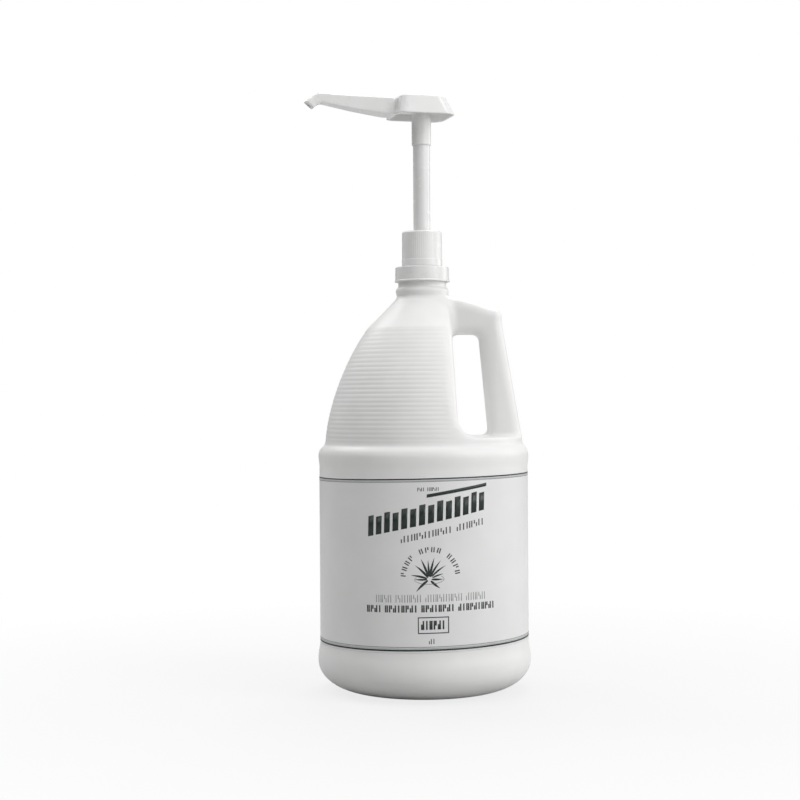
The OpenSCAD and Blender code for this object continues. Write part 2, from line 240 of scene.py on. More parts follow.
def helix_ridge(root, crest, z, start):
    """A trapezoid thread ridge from radius root to radius crest, faded out at both ends."""
    turns, steps, fade_steps = 1.2, 40, 5
    foot_half, crest_half = 1.0, 0.45
    total = round(turns * steps)
    sunk = math.copysign(0.35, crest - root)
    verts = []
    for i in range(total + 1):
        a = math.radians(start) + 2 * math.pi * i / steps
        fade = min(1, (i + 0.5) / fade_steps, (total - i + 0.5) / fade_steps)
        tip = root + (crest - root) * fade
        zc = z + THREAD_PITCH * i / steps
        foot = root - sunk
        for r, dz in ((foot, -foot_half), (tip, -crest_half), (tip, crest_half), (foot, foot_half)):
            verts.append((r * math.cos(a), r * math.sin(a), zc + dz))
    faces = []
    for i in range(0, total * 4, 4):
        for k in range(4):
            n = (k + 1) % 4
            faces.append([i + k, i + n, i + 4 + n, i + 4 + k])
    faces += [[3, 2, 1, 0], [total * 4 + k for k in range(4)]]
    if crest > root:
        faces = [f[::-1] for f in faces]
    return verts, faces


# ---------------------------------------------------------------- materials


class Nodes:
    """Short names for building a node tree."""

    def __init__(self, name):
        self.material = bpy.data.materials.new(name)
        self.material.use_nodes = True
        self.tree = self.material.node_tree
        self.shader = self.tree.nodes["Principled BSDF"]

    def add(self, kind, **values):
        """A new node, with the named inputs or settings filled in."""
        node = self.tree.nodes.new(kind)
        for key, value in values.items():
            if key in node.inputs:
                node.inputs[key].default_value = value
            else:
                setattr(node, key, value)
        return node

    def link(self, a, out, b, into):
        """Joins output out of node a to input into of node b."""
        self.tree.links.new(a.outputs[out], b.inputs[into])

    def place(self):
        """Where a point is on the piece, in metres, which stays put as the piece moves."""
        return self.add("ShaderNodeTexCoord"), "Object"

    def noise(self, scale, detail):
        """A noise fixed to the piece."""
        source, out = self.place()
        noise = self.add("ShaderNodeTexNoise", Scale=scale, Detail=detail, Roughness=0.5)
        self.link(source, out, noise, "Vector")
        return noise

    def spread(self, source, out, low, high, from_low=0.3, from_high=0.7):
        """Maps a value from one range to another, held within its ends."""
        node = self.add("ShaderNodeMapRange")
        node.inputs["From Min"].default_value = from_low
        node.inputs["From Max"].default_value = from_high
        node.inputs["To Min"].default_value = low
        node.inputs["To Max"].default_value = high
        self.link(source, out, node, "Value")
        return node

    def bump(self, source, out, distance, under=None):
        """A bump of this many metres, laid over another one."""
        node = self.add("ShaderNodeBump", Strength=1.0, Distance=distance)
        self.link(source, out, node, "Height")
        if under:
            self.link(under, "Normal", node, "Normal")
        return node

    def tint(self, source, out, first, second):
        """Blends between two colours."""
        ramp = self.add("ShaderNodeValToRGB")
        for stop, position, colour in zip(ramp.color_ramp.elements, (0.35, 0.65), (first, second)):
            stop.position = position
            stop.color = (*colour, 1)
        self.link(source, out, ramp, "Fac")
        return ramp


SCATTER_REACH = 0.002
SCATTER_TINT = (1.0, 0.95, 0.88)


def plastic(name, dark, light, rough, grain, waves, grain_scale=2600, wave_scale=26, scatter=0.0):
    """A moulded plastic: cloudy colour, uneven gloss, slow waves of the skin and a fine mould grain."""
    m = Nodes(name)
    cloud = m.noise(38, 2.0)
    m.link(m.tint(cloud, "Fac", dark, light), "Color", m.shader, "Base Color")
    gloss = m.noise(140, 4.0)
    m.link(m.spread(gloss, "Fac", rough - 0.05, rough + 0.06), "Result", m.shader, "Roughness")
    slow = m.bump(m.noise(wave_scale, 1.0), "Fac", waves)
    fine = m.bump(m.noise(grain_scale, 2.0), "Fac", grain, under=slow)
    m.link(fine, "Normal", m.shader, "Normal")
    if scatter:
        m.shader.inputs["Subsurface Weight"].default_value = scatter
        m.shader.inputs["Subsurface Radius"].default_value = SCATTER_TINT
        m.shader.inputs["Subsurface Scale"].default_value = SCATTER_REACH
    return m.material


def simple(name, colour, rough, grain, grain_scale=900, metallic=0.0, transmission=0.0):
    """A plain ink, metal or rubber with a faintly uneven colour and gloss."""
    m = Nodes(name)
    cloud = m.noise(90, 3.0)
    darker = tuple(c * 0.93 for c in colour)
    m.link(m.tint(cloud, "Fac", darker, colour), "Color", m.shader, "Base Color")
    gloss = m.noise(grain_scale / 3, 3.0)
    m.link(m.spread(gloss, "Fac", rough - 0.06, rough + 0.06), "Result", m.shader, "Roughness")
    m.link(m.bump(m.noise(grain_scale, 2.0), "Fac", grain), "Normal", m.shader, "Normal")
    m.shader.inputs["Metallic"].default_value = metallic
    m.shader.inputs["Transmission Weight"].default_value = transmission
    return m.material


JUG_WHITE = plastic(
    "jug_hdpe", (0.775, 0.775, 0.765), (0.805, 0.805, 0.797), rough=0.42, grain=0.000016, waves=0.0006,
    scatter=0.08,
)
PUMP_WHITE = plastic(
    "pump_pp", (0.78, 0.78, 0.772), (0.81, 0.81, 0.803), rough=0.30, grain=0.000008, waves=0.00012,
    wave_scale=60,
)
STEM_WHITE = plastic(
    "stem_pp", (0.77, 0.77, 0.765), (0.80, 0.80, 0.795), rough=0.24, grain=0.000006, waves=0.00008,
    wave_scale=70,
)
LABEL_FILM = plastic(
    "label_film", (0.738, 0.738, 0.736), (0.763, 0.763, 0.761), rough=0.38, grain=0.000010, waves=0.0002,
    grain_scale=4200, wave_scale=40,
)
INK_GRAIN = {"grain": 0.000006, "grain_scale": 3500}
INK_GREEN = simple("ink_green", (0.010, 0.022, 0.018), 0.38, **INK_GRAIN)
INK_DARK = simple("ink_dark", (0.035, 0.040, 0.038), 0.42, **INK_GRAIN)
INK_GREY = simple("ink_grey", (0.22, 0.235, 0.23), 0.42, **INK_GRAIN)
INK_PALE = simple("ink_pale", (0.52, 0.53, 0.525), 0.42, **INK_GRAIN)
SOFT_SEAL = simple("soft_seal", (0.62, 0.62, 0.60), 0.62, grain=0.00003)
STEEL = simple("ball_steel", (0.60, 0.61, 0.62), 0.16, grain=0.000003, grain_scale=2400, metallic=1.0)
SPRING_STEEL = simple(
    "spring_steel", (0.52, 0.53, 0.54), 0.27, grain=0.000006, grain_scale=1800, metallic=1.0
)
CLEAR_WHITE = simple("dip_tube_pe", (0.84, 0.86, 0.86), 0.34, grain=0.00001, transmission=0.25)


# ---------------------------------------------------------------- jug

PANEL_R, FOOT_R = 76.8, 78.4
DOME_Z, DOME_R, RIB_TOP, RIBS, RIB_DEPTH = 182.4, 72.2, 265.5, 26, 0.19
RIB_PITCH = (RIB_TOP - DOME_Z) / RIBS
DOME_H, DOME_POWER, DOME_ROOT = 114.6, 1.53, 0.6
FOOT_FLAT_R, HEEL_H = 46.0, 22.0
RING_R, RING_Z, RING_ARC = 68.5, 172.3, 9.0
SHOULDER_TOP, PUSH_UP = 288.4, 3.2
NECK_TOP, NECK_R, NECK_BORE = 307.6, 17.6, 15.4
WALL = 1.4
HOLE_TOP, HOLE_BOTTOM, RECESS_ARC = 261.0, 186.0, 15.5
HANDLE_HALF = 14.0


def dome_radius(z):
    """The dome's outside radius at a height."""
    return DOME_R * (1 - np.clip((z - DOME_Z) / DOME_H, 0, 1) ** DOME_POWER) ** DOME_ROOT


def recess_wall(z):
    """How far out the recess's upright wall stands at a height."""
    return 20.8 + 0.045 * (HOLE_TOP - z)


def grip_inner(z):
    """The grip's side towards the hole."""
    return 41.7 + 0.085 * (HOLE_TOP - z)


def grip_outer(z):
    """The grip's far side."""
    return 59.7 + 0.172 * (HOLE_TOP - z)


def body_side():
    """The jug's side from the foot ring to the neck's foot, as (r, z) points."""
    band = []
    for t in np.linspace(0, 1, 9):
        out = PANEL_R + (FOOT_R - PANEL_R) * (0.5 + 0.5 * math.cos(math.pi * t))
        band.append((out, 24 + 12.5 * t))
    dome = [(float(dome_radius(z)), float(z)) for z in np.linspace(DOME_Z + 1.5, RIB_TOP, 40)]
    return (
        arc(FOOT_FLAT_R, HEEL_H, FOOT_R - FOOT_FLAT_R, HEEL_H, -90, 0, 20)
        + band
        + [(PANEL_R, 165.0), (77.35, 169.5)]
        + arc(RING_R, RING_Z, RING_ARC, RING_ARC, 0, 60, 12)
        + [(72.55, 181.1), (72.3, 182.3)]
        + dome
        + [(26.6, 279.9), (23.7, 282.9), (21.2, 285.7), (18.4, SHOULDER_TOP)]
    )


def side_radius(z):
    """The outside radius of the foot band and label panel at a height."""
    points = [p for p in body_side() if p[1] < 170]
    return np.interp(z, [p[1] for p in points], [p[0] for p in points])


def mirrored(side):
    """A closed outline from one side's (r, z) points and the same points across the axis."""
    return side + [(-r, z) for r, z in reversed(side)]


def form_field(angle, radius, height):
    """The jug without its neck and ribs: dome, foot, recess and handle. Also every node's x and y."""
    floor = [(0.0, PUSH_UP), (38.0, PUSH_UP), (41.5, 0.2), (42.5, 0.0)]
    rr, zz = np.meshgrid(radius, height, indexing="ij")
    body = outline_distance(rr, zz, mirrored(floor + body_side()))[None]
    x = (np.cos(angle)[:, None] * radius[None, :])[:, :, None]
    y = (np.sin(angle)[:, None] * radius[None, :])[:, :, None]

    # Flat outlines in X and Z, tabulated once and looked up at each node's x
    table_step = 0.25
    flat_x = np.arange(-82, 82.01, table_step)
    fx, fz = np.meshgrid(flat_x, height, indexing="ij")
    wall_foot = recess_wall(HOLE_BOTTOM + RECESS_ARC)
    sweep = arc(wall_foot + RECESS_ARC, HOLE_BOTTOM + RECESS_ARC, RECESS_ARC, RECESS_ARC, 180, 270, 16)
    above, beyond = 300.0, 120.0
    recess_form = [(recess_wall(above), above)] + sweep + [(beyond, HOLE_BOTTOM), (beyond, above)]
    recess = outline_distance(fx, fz, recess_form)
    outer = (
        [(-10.0, 176.0), (-10.0, SHOULDER_TOP), (17.4, SHOULDER_TOP)]
        + [(29.0, 287.0), (39.0, 284.1), (47.0, 281.4)]
        + arc(52.9, 274.0, 5.4, 5.4, 68, 10, 8)
        + [(grip_outer(270), 270.0), (grip_outer(188), 188.0), (grip_outer(188), 176.0)]
    )
    corner = 5.5
    low_x, top_x = grip_inner(HOLE_BOTTOM + corner), grip_inner(HOLE_TOP)
    sunk = 7.0  # the hole's near side lies this deep inside the shell, whose recess is what shows there
    sunk_arc = RECESS_ARC + sunk
    hole = (
        arc(wall_foot + RECESS_ARC, HOLE_BOTTOM + RECESS_ARC, sunk_arc, sunk_arc, 180, 262, 16)
        + [(low_x - 22, HOLE_BOTTOM - 3)]
        + arc(low_x - corner, HOLE_BOTTOM + corner, corner, corner, -90, 0, 8)
        + arc(top_x - corner, HOLE_TOP - corner, corner, corner, 0, 90, 8)
        + [(recess_wall(HOLE_TOP) - sunk, HOLE_TOP)]
    )
    arm = outline_distance(fx, fz, outer)
    gap = outline_distance(fx, fz, hole)

    def at_x(table):
        """A flat field's values at every node."""
        out = np.empty((len(angle), len(radius), len(height)), np.float32)
        where = (x[:, :, 0].ravel() - flat_x[0]) / table_step
        low = np.clip(where.astype(int), 0, len(flat_x) - 2)
        part = (where - low)[:, None]
        out[:] = (table[low] * (1 - part) + table[low + 1] * part).reshape(out.shape)
        return out

    gap_x = at_x(gap)
    # The grip's face falls away towards the hole in a broad bevel, and gently towards its back
    bevel_wide, bevel_soft, back_x = 9.5, 2.6, 53
    fall = bevel_soft * np.log1p(np.exp(np.clip((bevel_wide - gap_x) / bevel_soft, -30, 30)))
    half = HANDLE_HALF - 0.27 * fall - 0.12 * np.clip(x - back_x, 0, None)
    handle = common(common(at_x(arm), -gap_x, 3.0), (np.abs(y) - half) * 0.9, 7.5)
    # The recess has a broad edge up its wall and a tighter one round its floor
    low = 1 - ease(HOLE_BOTTOM + 4, HOLE_BOTTOM + 22, height)
    shell = common(body, -at_x(recess), 6.0 - 4.2 * low)
    return join(shell, handle, 6.0 - 3.0 * low), x, y


def jug_mesh():
    """The hollow jug without its thread: its outside, its cavity, and the neck's bore between them."""
    near = grid_axis((-30, -0.6, 0.8), (-0.6, 0.6, 0.2), (0.6, 30, 0.8))
    side = grid_axis((30, 60, 1.4), (60, 179.4, 3.0))
    back = grid_axis((179.4, 180.6, 0.2))
    degrees = np.concatenate([near, side[1:], back[1:], 360 - side[::-1][1:-1]])
    angle = np.radians(degrees)
    radius = grid_axis((0, 12, 3), (12, 21.6, 0.6), (21.6, 46, 1.7), (46, 81, 1.25))
    height = grid_axis(
        (-1.5, 37.5, 1.5), (37.5, 163.5, 7), (163.5, DOME_Z, 0.9), (DOME_Z, RIB_TOP, RIB_PITCH / 6),
        (RIB_TOP, 287.1, 0.9), (287.1, 309.6, 0.6),
    )

    form, x, y = form_field(angle, radius, height)
    z = height[None, None, :]
    # Grip ribs: broad round crests and narrow valleys, on the dome's left, front and back
    crest = np.abs(np.sin(np.pi * (z - DOME_Z) / RIB_PITCH)) ** 0.75
    ribbed = (1 - ease(15.5, 18.5, x)) * ((z > DOME_Z) & (z < RIB_TOP)) * (1 - 0.45 * ease(225, RIB_TOP, z))
    form = form + RIB_DEPTH * (1 - crest) * ribbed
    # Neck with its transfer bead
    rr, zz = np.meshgrid(radius, height, indexing="ij")
    side_points = (
        [(0.0, 284.0), (18.2, 284.0), (18.2, 289.2)]
        + [(18.7, 290.0), (19.2, 291.0)]
        + arc(18.2, 293.2, 1.35, 2.1, -30, 75, 9)
        + [(17.9, 295.8), (NECK_R, 296.8), (NECK_R, NECK_TOP - 0.5), (NECK_R - 0.5, NECK_TOP)]
    )
    neck = outline_distance(rr, zz, mirrored(side_points))[None]
    form = join(form, neck, 2.4)
    bore = np.maximum(rr - NECK_BORE, 290 - zz)[None]
    form = np.maximum(form, -bore)
    # Parting line of the mould, and the pinch-off bar under the foot
    form = form - 0.10 * np.exp(-((y / 0.45) ** 2)) * (z > 2)
    form = form - 0.45 * np.exp(-((y / 0.8) ** 2)) * (z < 8) * (np.abs(x) < 36)
    verts, quads, cell = surface(form, (angle, radius, height), 2 * math.pi)

    open_row = int(np.searchsorted(height, 299.9))
    in_bore = cell[:, 1] < np.searchsorted(radius, 16.5)
    drop = in_bore & (cell[:, 2] < open_row) & (verts[:, 2] > 250)
    quads = quads[~drop[quads].any(1)]
    rim = np.nonzero(in_bore & (cell[:, 2] == open_row))[0]
    rim = rim[np.argsort(cell[rim, 0])]

    # The cavity, an even wall further in, on a coarser grid with the same angles
    radius_in = grid_axis((0, 13, 3.2), (13, 17.2, 0.7), (17.2, 80, 2.4))
    height_in = grid_axis((0.5, 36.5, 3), (36.5, 164.5, 8), (164.5, 290.5, 3.5), (290.5, 299.5, 3))
    inner, _, _ = form_field(angle, radius_in, height_in)
    ri, zi = np.meshgrid(radius_in, height_in, indexing="ij")
    inner = np.minimum(inner + WALL, np.maximum(ri - NECK_BORE, 284 - zi)[None])
    verts_in, quads_in, cell_in = surface(inner, (angle, radius_in, height_in), 2 * math.pi)
    top = np.nonzero(cell_in[:, 2] == len(height_in) - 2)[0]
    top = top[np.argsort(cell_in[top, 0])] + len(verts)

    def pole(v, c, first):
        """The ring of vertices round the axis on the floor, and the point that closes it."""
        ring = np.nonzero((c[:, 1] == 0) & (v[:, 2] < 20))[0]
        ring = ring[np.argsort(c[ring, 0])]
        return ring + first, (0.0, 0.0, float(v[ring, 2].mean()))

    ring_out, centre_out = pole(verts, cell, 0)
    ring_in, centre_in = pole(verts_in, cell_in, len(verts))
    a, r, z = np.concatenate([verts, verts_in]).T
    points = np.concatenate([np.stack([r * np.cos(a), r * np.sin(a), z], 1), [centre_out, centre_in]])
    n = len(points)
    # Angle, radius, height is a left-handed order, so the outer faces turn over and the cavity's stay
    faces = [q[::-1] for q in quads.tolist()] + (quads_in + len(verts)).tolist()
    count = len(rim)
    for i in range(count):
        j = (i + 1) % count
        faces.append([rim[i], rim[j], top[j], top[i]][::-1])
    for ring, middle, turn in ((ring_out, n - 2, -1), (ring_in, n - 1, 1)):
        for i in range(len(ring)):
            faces.append([ring[i], ring[(i + 1) % len(ring)], middle][::turn])
    return points, faces


jug_points, jug_faces = merged(jug_mesh(), helix_ridge(NECK_R, NECK_R + 1.1, 301.2, 0))
jug = make_piece("jug_body", jug_points, jug_faces, JUG_WHITE)
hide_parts("jug")
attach(jug, "container")


# ---------------------------------------------------------------- label

LABEL_LOW, LABEL_TOP, LABEL_OVERLAP, FILM = 37.2, 159.2, 7.0, 0.12
INK_LIFT, INK_THICK, PATCH_STEP = 0.035, 0.05, 1.6
TILT = 0.0192  # the label was put on slightly askew, higher on the handle's side


def wrap_point(s, z, lift):
    """Turns a place on the flat label, s along it from the front and z up it, into a point on the jug."""
    a = s / PANEL_R
    height = z + TILT * PANEL_R * np.sin(a)
    r = side_radius(height) + lift
    return np.stack([r * np.sin(a), -r * np.cos(a), height + 0 * a], -1)


def label_mesh():
    """The film goes once round and overlaps itself at the back."""
    half, over = math.pi * PANEL_R, LABEL_OVERLAP / 2
    s = np.linspace(-half - over, half + over, 241)
    lap = ease(half - over - 2.5, half - over - 0.5, s) * (FILM + 0.03)
    rows = np.array([LABEL_LOW, LABEL_LOW + 0.6, 44, 60, 90, 120, 150, LABEL_TOP - 0.6, LABEL_TOP])
    ss, zz = np.meshgrid(s, rows, indexing="ij")
    edge = np.where((zz == LABEL_LOW) | (zz == LABEL_TOP), 0.04, 0.0)
    outer = wrap_point(ss, zz, FILM + lap[:, None] - edge)
    inner = wrap_point(ss, zz, -0.02 + lap[:, None])
    n, m = ss.shape
    verts = np.concatenate([outer.reshape(-1, 3), inner.reshape(-1, 3)])
    base = n * m
    faces = []
    for i in range(n - 1):
        for k in range(m - 1):
            a, b, c, d = i * m + k, (i + 1) * m + k, (i + 1) * m + k + 1, i * m + k + 1
            faces += [[a, b, c, d], [base + d, base + c, base + b, base + a]]
        for k in (0, m - 1):
            a, b = i * m + k, (i + 1) * m + k
            f = [a, base + a, base + b, b]
            faces.append(f if k == 0 else f[::-1])
    for k in range(m - 1):
        for i in (0, n - 1):
            a, b = i * m + k, i * m + k + 1
            f = [a, b, base + b, base + a]
            faces.append(f if i == 0 else f[::-1])
    return verts, faces


label = make_piece("label_wrap", *label_mesh(), LABEL_FILM)
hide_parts("label")
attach(label, "container")


class Print:
    """Flat marks on the label, each a small patch that follows the jug's curve."""

    def __init__(self):
        self.parts = []
        self.inks = []

    def patch(self, corners, ink, columns=None):
        """Corners are low left, low right, top right and top left, in label millimetres."""
        (ax, az), (bx, bz), (cx, cz), (dx, dz) = corners
        length = max(math.hypot(bx - ax, bz - az), math.hypot(cx - dx, cz - dz))
        n = columns or max(1, math.ceil(length / PATCH_STEP))
        t = np.linspace(0, 1, n + 1)
        low = np.stack([ax + (bx - ax) * t, az + (bz - az) * t], 1)
        top = np.stack([dx + (cx - dx) * t, dz + (cz - dz) * t], 1)
        flat = np.concatenate([low, top])
        faces = [[i, i + 1, n + 2 + i, n + 1 + i] for i in range(n)]
        self.parts.append((wrap_point(flat[:, 0], flat[:, 1], FILM + INK_LIFT), faces))
        self.inks += [ink] * n

    def bar(self, s, z, width, height, ink, rise=0.0, lean=0.0):
        """An upright bar from its low left corner. rise tilts its ends and lean slants its sides."""
        right, up, over = z + rise * width, z + height, lean * height
        self.patch([(s, z), (s + width, right), (s + width + over, up + rise * width), (s + over, up)], ink)

    def word(self, s, z, length, height, letters, stroke, ink, rise=0.0):
        """Stand-ins for letters: upright bars, single or in pairs of uneven height, which spell nothing."""
        pitch = length / letters
        wide = pitch * 0.78
        for i in range(letters):
            x = s + i * pitch
            y = z + rise * (x - s)
            step = wide - stroke
            kind = (i * 5 + letters * 3) % 4
            if kind == 0:
                self.bar(x, y, stroke, height, ink, rise)
                self.bar(x + step, y + rise * step, stroke, height, ink, rise)
            elif kind == 1:
                self.bar(x, y, stroke, height, ink, rise)
                self.bar(x + step, y + height * 0.45 + rise * step, stroke, height * 0.55, ink, rise)
            elif kind == 2:
                self.bar(x, y, stroke, height * 0.6, ink, rise)
                self.bar(x + step, y + rise * step, stroke, height, ink, rise)
            else:
                self.bar(x + step / 2, y, stroke, height, ink, rise)

    def line(self, s, z, length, height, words, stroke, ink, rise=0.0):
        """A line of words, given by their numbers of letters."""
        total = sum(words) + 0.7 * (len(words) - 1)
        unit = length / total
        x = s
        for n in words:
            self.word(x, z + rise * (x - s), n * unit, height, n, stroke, ink, rise)
            x += (n + 0.7) * unit

    def ring_line(self, z, thickness, ink):
        """A line right round the label, stopping at its overlap."""
        end = math.pi * PANEL_R - 4
        self.patch([(-end, z), (end, z), (end, z + thickness), (-end, z + thickness)], ink, 256)

    def leaf(self, s, z, angle, length, width, ink, bend):
        """A pointed leaf from its root, at an angle in degrees, with its tip bent aside."""
        n = 7
        left, right = [], []
        for i in range(n + 1):
            t = i / n
            a = math.radians(angle + bend * t)
            x, y = s + length * t * math.cos(a), z + length * t * math.sin(a)
            w = width * 0.5 * (math.sin(math.pi * min(1, 0.12 + t * 0.88) ** 0.8) * 0.9 + 0.05 * (1 - t))
            left.append((x - w * math.sin(a), y + w * math.cos(a)))
            right.append((x + w * math.sin(a), y - w * math.cos(a)))
        for i in range(n):
            self.patch([right[i], right[i + 1], left[i + 1], left[i]], ink, 1)


def label_print():
    """All the marks, in label millimetres. None of them is a letter or a word."""
    p = Print()
    # Borders: a dark line, with a pale and a thin grey one inside it
    for z, thickness, ink in (
        (157.6, 0.95, INK_GREEN), (156.5, 1.0, INK_PALE), (156.0, 0.4, INK_GREY),
        (38.5, 1.2, INK_GREEN), (39.9, 1.2, INK_PALE), (41.2, 0.4, INK_GREY),
    ):
        p.ring_line(z, thickness, ink)
    # A small line at the top
    p.line(-5.4, 149.6, 15.6, 2.6, [3, 5], 0.5, INK_DARK)
    # The heading: fourteen bold bars on a rising line, roofed over their right half
    for i in range(14):
        x = -42.0 + 6.25 * i
        p.bar(x, 118.4 + 0.195 * (x + 42), 4.3, 14.2 - 1.6 * (i % 2), INK_GREEN, 0.18, 0.03)
    p.bar(1.0, 145.0, 44.6, 2.4, INK_GREEN, 0.145, 0.1)
    # The sub-heading
    p.line(-17.2, 113.8, 61.4, 4.6, [10, 6], 0.85, INK_DARK, 0.185)
    # Pairs of marks in an arc, with two gaps, over a leafy rosette
    middle, radius, high, wide = np.array([3.5, 89.8]), 17.4, 3.6, 0.8
    for i in range(14):
        if i in (4, 9):
            continue
        a = math.radians(174 - 165 * i / 13)
        out, side = np.array([math.cos(a), math.sin(a)]), np.array([math.sin(a), -math.cos(a)])
        for offset, low in ((-1.15, 0), (0.45, 0 if i % 3 else 1.6)):
            corners = ((low, 0), (low, wide), (high, wide), (high, 0))
            q = [middle + out * (radius + r) + side * (offset + w) for r, w in corners]
            p.patch([tuple(v) for v in q], INK_DARK, 1)
    rosette_s, rosette_z = 2.6, 88.4
    for angle, start, length, width, bend in (
        (128, 1.6, 12.6, 1.7, 8), (109, 2.2, 13.4, 1.7, 4), (94, 1.8, 11.6, 1.5, 0),
        (80, 2.4, 13.0, 1.7, -4), (65, 1.8, 13.6, 1.5, -8), (47, 2.6, 12.4, 1.3, -10),
        (160, 1.8, 11.6, 1.6, 8), (184, 1.6, 8.8, 1.4, -6), (26, 2.4, 8.4, 1.2, -8),
        (-4, 1.6, 8.2, 1.5, 4), (216, 1.4, 11.6, 1.9, 8), (-46, 1.6, 8.4, 1.8, 6),
    ):
        a = math.radians(angle)
        root_s, root_z = rosette_s + start * math.cos(a), rosette_z + start * math.sin(a)
        p.leaf(root_s, root_z, angle, length, width, INK_GREEN, bend)
    # A thin oval round the leaves' roots, open at its back
    for i in range(40):
        a0, a1 = (2 * math.pi * (i + k) / 40 for k in (0, 1))
        if math.sin(a0) > 0.55:
            continue
        corners = ((10.4, 3.6, a0), (10.4, 3.6, a1), (10.05, 3.25, a1), (10.05, 3.25, a0))
        q = [(rosette_s + rx * math.cos(a), rosette_z + rz * math.sin(a)) for rx, rz, a in corners]
        p.patch(q, INK_GREY, 1)
    # Two lines below, the second bold
    p.line(-36.6, 72.6, 81.8, 5.2, [5, 7, 10, 6], 0.5, INK_GREY)
    p.line(-43.2, 65.6, 96.0, 4.9, [4, 8, 8, 10], 1.05, INK_DARK)
    # A frame round a short line of bars, and a small pair of marks
    for s0, s1, z0, z1 in (
        (-5.6, 16.2, 50.6, 51.3), (-5.6, 16.2, 61.5, 62.2),
        (-5.6, -4.9, 51.3, 61.5), (15.5, 16.2, 51.3, 61.5),
    ):
        p.patch([(s0, z0), (s1, z0), (s1, z1), (s0, z1)], INK_DARK)
    p.line(-3.4, 53.4, 17.4, 6.2, [6], 1.15, INK_DARK)
    p.line(2.0, 43.4, 5.0, 3.6, [2], 0.6, INK_DARK)
    return p


INKS = [INK_GREEN, INK_DARK, INK_GREY, INK_PALE]
marks = label_print()
mark_points, mark_faces = merged(*marks.parts)
prints = make_piece("label_print", mark_points, mark_faces)
for ink in INKS:
    prints.data.materials.append(ink)
prints.data.polygons.foreach_set("material_index", [INKS.index(i) for i in marks.inks])
thick = prints.modifiers.new("thickness", "SOLIDIFY")
thick.thickness = INK_THICK * MM
thick.offset = -1
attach(prints, "container")


# ---------------------------------------------------------------- screw cap and lock collar


def weighted(piece):
    """Flat faces stay flat beside their rounded edges."""
    piece.modifiers.new("weighted", "WEIGHTED_NORMAL").keep_sharp = True


cap_outline = rounded([
    (19.0, 300.0, 0.15), (20.4, 300.0, 0.4), (20.4, 300.9, 0.4), (19.9, 301.4, 0.5), (19.8, 311.0, 0.9),
    (14.0, 311.0, 0.25), (14.0, 309.7, 0.1), (19.0, 309.7, 0.4),
])
cap_thread = helix_ridge(19.0, 17.95, 300.8, 119)
cap = make_piece("screw_cap_ring", *merged(turned(cap_outline, 180), cap_thread), PUMP_WHITE)
weighted(cap)
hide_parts("screw_cap")
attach(cap, "cap")

COLLAR_TOP, COLLAR_R, COLLAR_RIBS, RIB_FOOT, COLLAR_RIB_DEPTH = 337.4, 14.95, 60, 316.2, 0.08
COLLAR_LIP = COLLAR_TOP - 0.6


def collar_swell(angle, z, r):
    """Upright ribs from the smooth band to the rounded top."""
    wave = np.abs(np.cos(angle * COLLAR_RIBS / 2)) ** 0.8
    run = ease(RIB_FOOT, RIB_FOOT + 0.7, z) * (1 - ease(COLLAR_TOP - 2.2, COLLAR_TOP - 0.9, z)) * (r > 13)
    return -COLLAR_RIB_DEPTH * (1 - wave) * run


def fine_rows(outline, low, high, spacing):
    """Adds points to an outline's steep edges between two heights, so that ribs can follow them."""
    out = []
    for (x0, z0), (x1, z1) in zip(outline, outline[1:] + outline[:1]):
        out.append((x0, z0))
        if abs(z1 - z0) > spacing and min(z0, z1) > low and max(z0, z1) < high:
            n = int(abs(z1 - z0) / spacing)
            out += [(x0 + (x1 - x0) * k / n, z0 + (z1 - z0) * k / n) for k in range(1, n)]
    return out


collar_outline = rounded([
    (12.38, 298.0, 0.3), (12.38, 309.6, 0), (13.6, 309.6, 0), (13.6, 311.5, 0.2), (COLLAR_R, 311.5, 0.35),
    (COLLAR_R, RIB_FOOT, 0.3), (COLLAR_R - 0.15, RIB_FOOT + 0.5, 0.2), (COLLAR_R - 0.2, COLLAR_TOP, 1.7),
    (7.4, COLLAR_TOP, 0.2), (7.2, COLLAR_LIP, 0.2), (6.28, COLLAR_LIP, 0.2), (6.28, 331.7, 0),
    (9.0, 331.7, 0), (9.0, 326.1, 0), (10.6, 326.1, 0), (10.6, 298.0, 0.3),
], 7)
collar_mesh = turned(fine_rows(collar_outline, 311, 337, 1.2), COLLAR_RIBS * 8, collar_swell)
collar = make_piece("lock_collar_ribbed", *collar_mesh, PUMP_WHITE)
weighted(collar)
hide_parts("lock_collar")
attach(collar, "pump")


# ---------------------------------------------------------------- pump head

HEAD_LOW, HEAD_TOP, HEAD_WALL, WEB_HALF = 421.9, 435.8, 1.8, 0.65
BOSS_LOW, BOSS_R, SOCKET_R, SOCKET_TOP, RISER_R = 400.3, 7.1, 6.2, 418, 4.2
CHANNEL_Z, CHANNEL_R, TIP_X, TIP_Z, TIP_R, TIP_DROP = 428.5, 2.3, 77.5, 432.5, 1.95, 33
SPOUT_TURN = 16.0


def box_distance(x, y, half_x, half_y, corner):
    """Signed distance to a rectangle with rounded corners, centred on the origin."""
    qx, qy = np.abs(x) - (half_x - corner), np.abs(y) - (half_y - corner)
    return np.hypot(np.maximum(qx, 0), np.maximum(qy, 0)) + np.minimum(np.maximum(qx, qy), 0) - corner


def pad_field(u, v, z, inset):
    """The thumb pad's block: sides and rear lean inwards as they rise. u runs towards the spout."""
    t = (z - HEAD_LOW) / (HEAD_TOP - HEAD_LOW)
    rear, nose = -21.73 + 6.4 * t + inset, 22.33 - 2.6 * t - inset
    half_v = 21.0 - 3.1 * t - inset
    corner = np.where(u > 0, 5.5, 9.0) - inset
    plan = box_distance(u - (rear + nose) / 2, v, (nose - rear) / 2, half_v, corner)
    return common(plan * 0.96, z - (HEAD_TOP - inset), 1.4)


